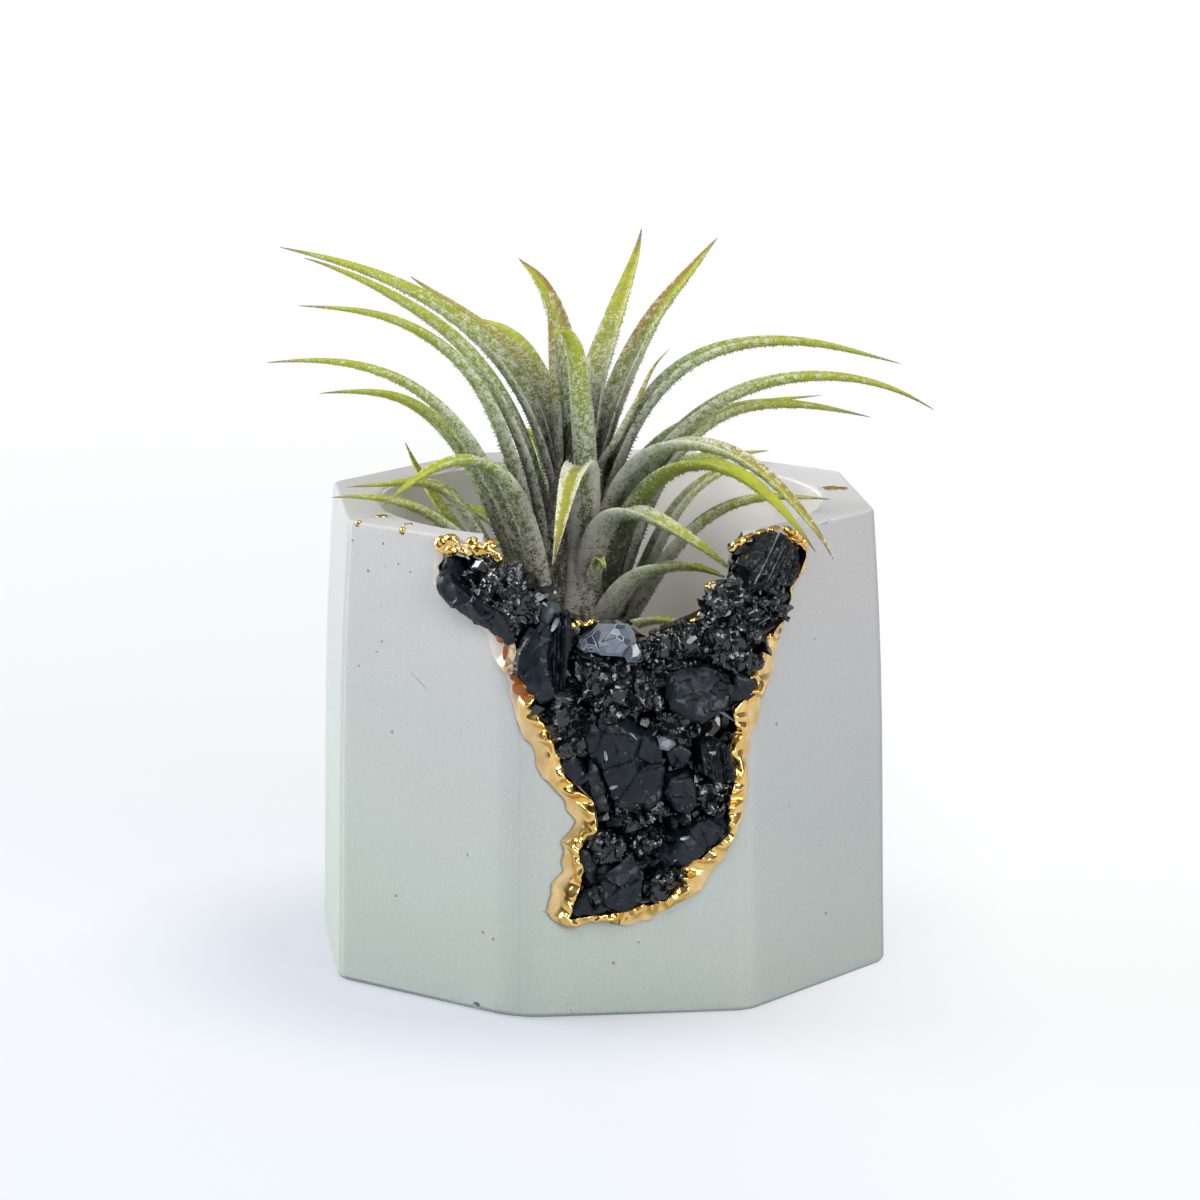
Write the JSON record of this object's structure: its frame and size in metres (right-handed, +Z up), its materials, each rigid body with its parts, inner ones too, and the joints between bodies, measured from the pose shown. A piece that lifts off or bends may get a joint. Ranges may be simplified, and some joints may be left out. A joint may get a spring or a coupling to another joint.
{
  "type": "geode planter",
  "caption": "Eight-sided concrete pot whose broken front is healed with resin, black crystals and gold, holding a small air plant that lifts out.",
  "frame": {"origin": "middle of the pot's flat base, under the centre of its octagon", "axes": "+Z up the pot; the broken, crystal-filled wall faces -Y; +X to the right of someone who looks at it"},
  "size_m": [0.0902, 0.0822, 0.1],
  "materials": {
    "concrete": "matte",
    "resin": "gloss",
    "gold": "satin",
    "black_crystal": "gloss",
    "quartz": "gloss",
    "leaf": "matte",
    "crown": "matte"
  },
  "bodies": {
    "pot": {"pot_body": "concrete", "resin_bed": "resin", "gold_rim": "gold", "gold_nuggets": "gold", "gold_flecks": "gold", "rim_spots": "gold", "quartz_crystal": "quartz", "crystal_01": "black_crystal", "crystal_02": "black_crystal", "crystal_03": "black_crystal", "crystal_04": "black_crystal", "crystal_05": "black_crystal", "crystal_06": "black_crystal", "crystal_07": "black_crystal", "crystal_08": "black_crystal", "crystal_09": "black_crystal", "crystal_10": "black_crystal", "crystal_11": "black_crystal", "crystal_12": "black_crystal", "crystal_13": "black_crystal", "crystal_14": "black_crystal", "crystal_15": "black_crystal", "crystal_16": "black_crystal"},
    "plant": {"plant_crown": "crown", "leaf_01": "leaf", "leaf_02": "leaf", "leaf_03": "leaf", "leaf_04": "leaf", "leaf_05": "leaf", "leaf_06": "leaf", "leaf_07": "leaf", "leaf_08": "leaf", "leaf_09": "leaf", "leaf_10": "leaf", "leaf_11": "leaf", "leaf_12": "leaf", "leaf_13": "leaf", "leaf_14": "leaf", "leaf_15": "leaf", "leaf_16": "leaf", "leaf_17": "leaf", "leaf_18": "leaf", "leaf_19": "leaf", "leaf_20": "leaf", "leaf_21": "leaf", "leaf_22": "leaf", "leaf_23": "leaf", "leaf_24": "leaf", "leaf_25": "leaf", "leaf_26": "leaf", "leaf_27": "leaf", "leaf_28": "leaf", "leaf_29": "leaf", "leaf_30": "leaf", "leaf_31": "leaf", "leaf_32": "leaf", "leaf_33": "leaf", "leaf_34": "leaf", "leaf_35": "leaf", "leaf_36": "leaf"}
  },
  "joints": [
    {"name": "plant_lift", "type": "slide", "parent": "pot", "child": "plant", "axis": [0, 0, 1], "range_m": [0, 0.09]}
  ]
}
